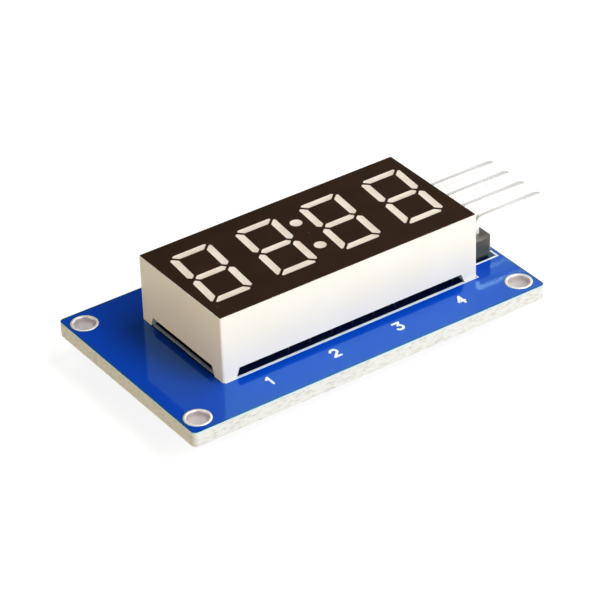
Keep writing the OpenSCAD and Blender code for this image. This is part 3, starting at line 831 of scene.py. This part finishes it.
# Inside the display: a small green board that carries the light chips, and the resin
# that seals the back. Little of them shows, past the feet.
carrier_tones = (0.02, 0.13, 0.04, 1), (0.03, 0.17, 0.06, 1)
die_tones = (0.55, 0.42, 0.12, 1), (0.62, 0.5, 0.2, 1)
sealing_tones = (0.76, 0.73, 0.64, 1), (0.68, 0.64, 0.54, 1)
inner_grain_depth = 0.006 * MM


def inner_material(name, tones, roughness):
    """An even glossy material between two near tones."""
    material, tree, shader = start_material(name)
    skin = use_group(tree, grain, Grain_per_metre=3000, Drift_per_metre=500)
    join(tree, (drifting(tree, skin, *tones), shader.inputs["Base Color"]))
    shader.inputs["Roughness"].default_value = roughness
    add_bump(tree, shader, skin.outputs["Height"], inner_grain_depth)
    return material


dress("led_carrier_board", inner_material("green_carrier", carrier_tones, 0.3))
dress("led_dies", inner_material("light_chips", die_tones, 0.2))
dress("display_potting", inner_material("sealing_resin", sealing_tones, 0.25))


# Display pins: round tinned wire from the carrier board through the circuit board, cut
# off below it. Solder fills each hole and climbs each pin in a bright hollow cone.
cut_round = 0.06 * MM
cut_arc = 0.3
pad_skin = 0.035 * MM
neck_gap = 0.02 * MM
sleeve_t = 0.1 * MM
sleeve_top = board_hi.z * 0.98
cone_steps = 7
cone_heights = (0.88, 1.0)
cone_hollows = (0.9, 1.0)
solder_tone = (0.80, 0.80, 0.80, 1)
solder_shade = (0.62, 0.61, 0.60, 1)
solder_metal = tin_material("bright_solder", solder_tone, solder_shade, smooth=0.1, dull=0.26,
                            ripples=2600, depth=0.015 * MM)


def display_wires():
    """Round pins with their lower ends rounded off."""
    bm = bmesh.new()
    for box in solids("display_pins"):
        r = (box[1].x - box[0].x) / 2
        end = box[0].z
        arc = cut_round * cut_arc
        profile = [(0, end), (r - cut_round, end), (r - arc, end + arc), (r, end + cut_round),
                   (r, box[1].z), (0, box[1].z)]
        lathe(bm, profile, middle(box), steps=24)
    return bm


def solder_joint(bm, box, pin_r, dice):
    """One joint under the board: a skin on the pad, a hollow cone and a sleeve in the hole."""
    pad_r = (box[1].x - box[0].x) / 2
    height = (board_lo.z - box[0].z) * dice.uniform(*cone_heights)
    neck = pin_r + neck_gap
    profile = [(pad_r, 0), (pad_r - pad_skin / 2, -pad_skin)]
    for k in range(1, cone_steps + 1):
        turn = math.pi / 2 * k / cone_steps
        inward = math.sin(turn) ** dice.uniform(*cone_hollows)
        r = pad_r - pad_skin - (pad_r - pad_skin - neck) * inward
        profile.append((r, -pad_skin - (height - pad_skin) * (1 - math.cos(turn))))
    profile += [(0, profile[-1][1]), (0, sleeve_top), (pin_r + sleeve_t, sleeve_top),
                (pin_r + sleeve_t, 0)]
    lathe(bm, profile, middle(box), steps=36, closed=True)


def solder_joints(node, pin_r, seed):
    """A joint for each solid of the node, each with its own height and hollow."""
    bm = bmesh.new()
    dice = random.Random(seed)
    for box in solids(node):
        solder_joint(bm, box, pin_r, dice)
    return bm


wires = add_piece("display_wires", display_wires(), tinned, sharp=50)
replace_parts(wires, "display_pins")
wire_box = solids("display_pins")[0]
wire_r = (wire_box[1].x - wire_box[0].x) / 2
cones = add_piece("display_joints", solder_joints("display_solder", wire_r, seed=3),
                  solder_metal, sharp=60)
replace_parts(cones, "display_solder")


# Header block: four cells of black plastic moulded in a row, with notches between them
# and a narrower foot, pushed down on the board round the pins.
block_round = 0.07 * MM
block_notch = 0.5 * MM
block_tone = (0.042, 0.038, 0.031, 1)
block_other = (0.055, 0.050, 0.041, 1)
black_plastic = plastic("black_moulding", block_tone, block_other,
                        roughness=0.36, grains=6000, depth=0.005 * MM, dusty=0.04)
block = add_piece("header_moulding", shell_of("header_block", block_round, block_notch, steps=2),
                  black_plastic, sharp=35)
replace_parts(block, "header_block")


# Header pins: square tinned brass wire, bent once in a press and pointed at both ends
# by a small taper.
pin_round = 0.05 * MM
pin_bend_r = 0.7 * MM
pin_taper_l = 0.5 * MM
pin_taper_w = 0.15 * MM
bend_steps = 10
corner_reach = 1.2
pin_tone = (0.98, 0.975, 0.965, 1)
pin_shade = (0.95, 0.94, 0.925, 1)
pin_metal = tin_material("tinned_pin", pin_tone, pin_shade, smooth=0.26, dull=0.36,
                         ripples=700, depth=0.0008 * MM, metallic=0.5)


def rounded_route(points, radius):
    """The points of a flat route, with each inner corner drawn as an arc."""
    route = [points[0]]
    for before, corner, after in zip(points, points[1:], points[2:]):
        u = (before - corner).normalized()
        v = (after - corner).normalized()
        half = u.angle(v) / 2
        centre = corner + (u + v).normalized() * radius / math.sin(half)
        start = corner + u * radius / math.tan(half) - centre
        end = corner + v * radius / math.tan(half) - centre
        sweep = math.pi - 2 * half
        for k in range(bend_steps + 1):
            t = k / bend_steps
            spoke = start * math.sin((1 - t) * sweep) + end * math.sin(t * sweep)
            route.append(centre + spoke / math.sin(sweep))
    return route + [points[-1]]


def draw_bar(bm, route, width, thickness, corner, place, end_scales):
    """Sweeps a rectangle with cut corners along a flat route. place turns (along, across,
    up) into a point of the model, and end_scales narrows the section at some points."""
    w = width / 2
    t = thickness / 2
    section = [(-w, -t + corner), (-w, t - corner), (-w + corner, t), (w - corner, t),
               (w, t - corner), (w, -t + corner), (w - corner, -t), (-w + corner, -t)]
    rings = []
    for i, point in enumerate(route):
        back = (point - route[i - 1]).normalized() if i else Vector((0, 0))
        ahead = (route[i + 1] - point).normalized() if i < len(route) - 1 else Vector((0, 0))
        way = (back + ahead).normalized()
        normal = Vector((-way.y, way.x))
        scale = end_scales.get(i, end_scales.get(i - len(route), 1))
        rings.append([])
        for p, q in section:
            spot = point + normal * q * scale
            rings[-1].append(bm.verts.new(place(spot.x, p * scale, spot.y)))
    for first, second in zip(rings, rings[1:]):
        for k in range(8):
            bm.faces.new((first[k], first[(k + 1) % 8], second[(k + 1) % 8], second[k]))
    bm.faces.new(rings[0])
    bm.faces.new(rings[-1])


def bent_pin(i):
    """One header pin: up through the block, round the bend and out level."""
    lo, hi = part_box(f"header_pin_{i}")
    width = hi.y - lo.y
    foot = lo.x + width / 2
    level = hi.z - width / 2
    corners = [Vector((foot, lo.z)), Vector((foot, level)), Vector((hi.x, level))]
    route = rounded_route(corners, pin_bend_r)
    route.insert(1, Vector((foot, lo.z + pin_taper_l)))
    route.insert(-1, Vector((hi.x - pin_taper_l, level)))
    tip = 1 - 2 * pin_taper_w / width
    bm = bmesh.new()
    draw_bar(bm, route, width, width, pin_round, lambda x, y, z: (x, (lo.y + hi.y) / 2 + y, z),
             {0: tip, -1: tip})
    pin = add_piece(f"header_pin_{i}_wire", bm, pin_metal, sharp=30)
    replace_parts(pin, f"header_pin_{i}")


for number in (1, 2, 3, 4):
    bent_pin(number)
pin_lo, pin_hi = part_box("header_pin_1")
pin_r = (pin_hi.y - pin_lo.y) / 2 * corner_reach
header_cones = add_piece("header_joints", solder_joints("header_solder", pin_r, seed=8),
                         solder_metal, sharp=60)
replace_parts(header_cones, "header_solder")


# Driver chip: a black epoxy body moulded round its lead frame, drafted above and below
# the leads, with a round mark by the first lead. Its top is bare.
chip_round = 0.06 * MM
chip_face_band = 0.02 * MM
chip_end_band = 0.3 * MM
epoxy_tone = (0.017, 0.017, 0.018, 1)
epoxy_other = (0.024, 0.024, 0.025, 1)
epoxy = plastic("black_epoxy", epoxy_tone, epoxy_other,
                roughness=0.55, grains=11000, depth=0.012 * MM)
chip_lo, chip_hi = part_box("driver_chip_body")


def chip_body():
    """The moulded body, with the edges of its faces and its ends rounded."""
    bm = welded("driver_chip_body")
    belt = (chip_lo.z + chip_hi.z) / 2
    reach = (chip_hi - chip_lo) / 2
    round_edges(bm, chip_round, lambda p: abs(p.z - belt) > reach.z - chip_face_band
                or abs(p.y) > reach.y - chip_end_band, steps=2)
    return bm


body = add_piece("chip_moulding", chip_body(), epoxy, sharp=35)
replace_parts(body, "driver_chip_body")


# Chip leads: flat tinned strips, stamped from the lead frame and bent down into feet
# that stand on the pads.
lead_t = 0.25 * MM
lead_foot = 0.75 * MM
lead_slope_l = 1.5 * lead_t
lead_heel = lead_t / 2
lead_bend_r = 0.22 * MM
lead_corner = 0.03 * MM


def gull_leads():
    """Each lead leaves the body level, slopes down and ends in a level foot."""
    bm = bmesh.new()
    belt = (chip_lo.z + chip_hi.z) / 2
    chip_x = (chip_lo.x + chip_hi.x) / 2
    for lo, hi in solids("driver_chip_leads"):
        side = 1 if middle((lo, hi)).x > chip_x else -1
        root = min(abs(lo.x - chip_x), abs(hi.x - chip_x))
        tip = max(abs(lo.x - chip_x), abs(hi.x - chip_x))
        foot_z = hi.z - lead_t / 2
        corners = [Vector((root, belt)), Vector((tip - lead_foot - lead_slope_l, belt)),
                   Vector((tip - lead_foot + lead_heel, foot_z)), Vector((tip, foot_z))]
        across = (lo.y + hi.y) / 2
        draw_bar(bm, rounded_route(corners, lead_bend_r), hi.y - lo.y, lead_t, lead_corner,
                 lambda x, y, z: (chip_x + side * x, across + y, z), {})
    return bm


leads = add_piece("chip_leads", gull_leads(), tinned, sharp=35)
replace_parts(leads, "driver_chip_leads")


# Solder at the flat feet and at the small parts' ends: a tinned pad with a hollow
# wedge that climbs the end of what stands on it.
pad_t = 0.05 * MM
pad_toe = 0.4 * MM
wedge_reach = 0.92
outer_share = 0.6
same_row = 0.01 * MM
wedge_steps = 6


def soldered_pads(node):
    """A pad for each solid of the node, with the wedge on the side away from the part."""
    bm = bmesh.new()
    boxes = solids(node)
    for lo, hi in boxes:
        centre = middle((lo, hi))
        row = [b for b in boxes if abs(middle(b).y - centre.y) < same_row]
        side = 1 if centre.x > sum(middle(b).x for b in row) / len(row) else -1
        inner, outer = (lo.x, hi.x) if side > 0 else (hi.x, lo.x)
        wall = outer - side * pad_toe
        profile = [(inner, 0), (inner, -pad_t), (wall, -pad_t)]
        for k in range(wedge_steps + 1):
            turn = math.pi / 2 * k / wedge_steps
            profile.append((wall + side * pad_toe * wedge_reach * (1 - math.cos(turn)),
                            lo.z + (-pad_t - lo.z) * math.sin(turn)))
        profile += [(outer, -pad_t * outer_share), (outer, 0)]
        near = [bm.verts.new((x, lo.y, z)) for x, z in profile]
        away = [bm.verts.new((x, hi.y, z)) for x, z in profile]
        count = len(profile)
        for k in range(count):
            bm.faces.new((near[k], near[(k + 1) % count], away[(k + 1) % count], away[k]))
        bm.faces.new(near)
        bm.faces.new(away)
    return bm


chip_solder = add_piece("chip_joints", soldered_pads("driver_chip_solder"),
                        solder_metal, sharp=40)
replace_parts(chip_solder, "driver_chip_solder")
small_solder = add_piece("small_part_joints", soldered_pads("passive_solder"),
                         solder_metal, sharp=40)
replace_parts(small_solder, "passive_solder")


# Resistors and capacitors: sintered ceramic bodies with tinned caps on their ends. The
# resistors are white ceramic under a black coat, the capacitors tan all through.
cap_round = 0.04 * MM
coat_tone = (0.012, 0.012, 0.014, 1)
coat_other = (0.03, 0.03, 0.032, 1)
bare_ceramic = (0.75, 0.74, 0.70, 1)
tan_tone = (0.42, 0.27, 0.13, 1)
tan_other = (0.34, 0.21, 0.10, 1)
ceramic_depth = 0.005 * MM


def resistor_material():
    """White ceramic with a black coat on the face away from the board."""
    material, tree, shader = start_material("coated_ceramic")
    skin = use_group(tree, grain, Grain_per_metre=9000, Drift_per_metre=900)
    facing = add_node(tree, "ShaderNodeNewGeometry")
    up = add_node(tree, "ShaderNodeSeparateXYZ")
    join(tree, (facing.outputs["Normal"], up.inputs[0]))
    coat = calculate(tree, "LESS_THAN", up.outputs["Z"], -level_face)
    black = blend(tree, skin.outputs["Drift"], coat_tone, coat_other)
    join(tree, (blend(tree, coat, bare_ceramic, black), shader.inputs["Base Color"]))
    shader.inputs["Roughness"].default_value = 0.35
    add_bump(tree, shader, skin.outputs["Height"], ceramic_depth)
    return material


def small_part(node, name, material):
    """The node's solids with their sharp edges rounded."""
    bm = welded(node)
    round_edges(bm, cap_round, lambda p: True, steps=2, angle=60)
    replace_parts(add_piece(name, bm, material, sharp=40), node)


tan_ceramic = plastic("tan_ceramic", tan_tone, tan_other,
                      roughness=0.4, grains=9000, depth=ceramic_depth)
small_part("resistor_bodies", "resistor_ceramic", resistor_material())
small_part("capacitor_bodies", "capacitor_ceramic", tan_ceramic)
small_part("resistor_end_caps", "resistor_caps", tinned)
small_part("capacitor_end_caps", "capacitor_caps", tinned)
